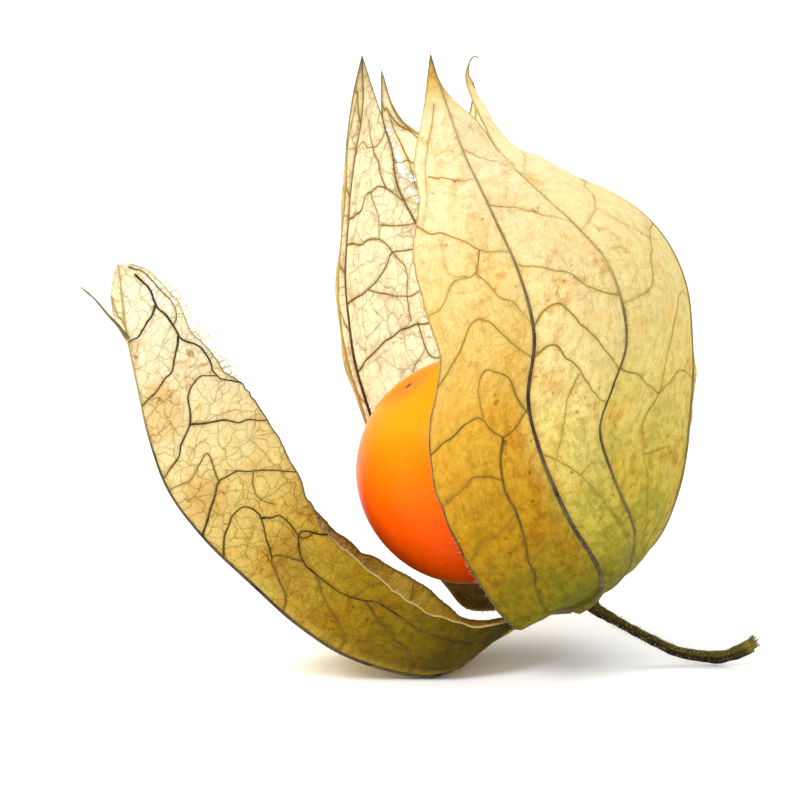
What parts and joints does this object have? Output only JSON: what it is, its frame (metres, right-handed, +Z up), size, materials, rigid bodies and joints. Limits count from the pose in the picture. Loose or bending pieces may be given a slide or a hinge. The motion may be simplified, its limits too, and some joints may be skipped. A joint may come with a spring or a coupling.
{
  "type": "husked cape gooseberry",
  "caption": "Ripe physalis berry lying in its papery husk on a curved stem, with one sepal of the husk torn free and peeled back to show the fruit.",
  "frame": {"origin": "middle of the bounding box's underside, on the surface that the fruit lies on", "axes": "+Z up; +X from the peeled sepal towards the stem; +Y away from the side where the husk is torn open"},
  "size_m": [0.0588, 0.0354, 0.053],
  "materials": {
    "berry_skin": "gloss",
    "husk_paper": "matte",
    "stem_bark": "matte"
  },
  "bodies": {
    "root": {"berry": "berry_skin", "stem": "stem_bark", "sepal_front": "husk_paper", "sepal_right": "husk_paper", "sepal_back": "husk_paper", "sepal_left": "husk_paper", "sepal_peeled": "husk_paper"}
  },
  "joints": []
}
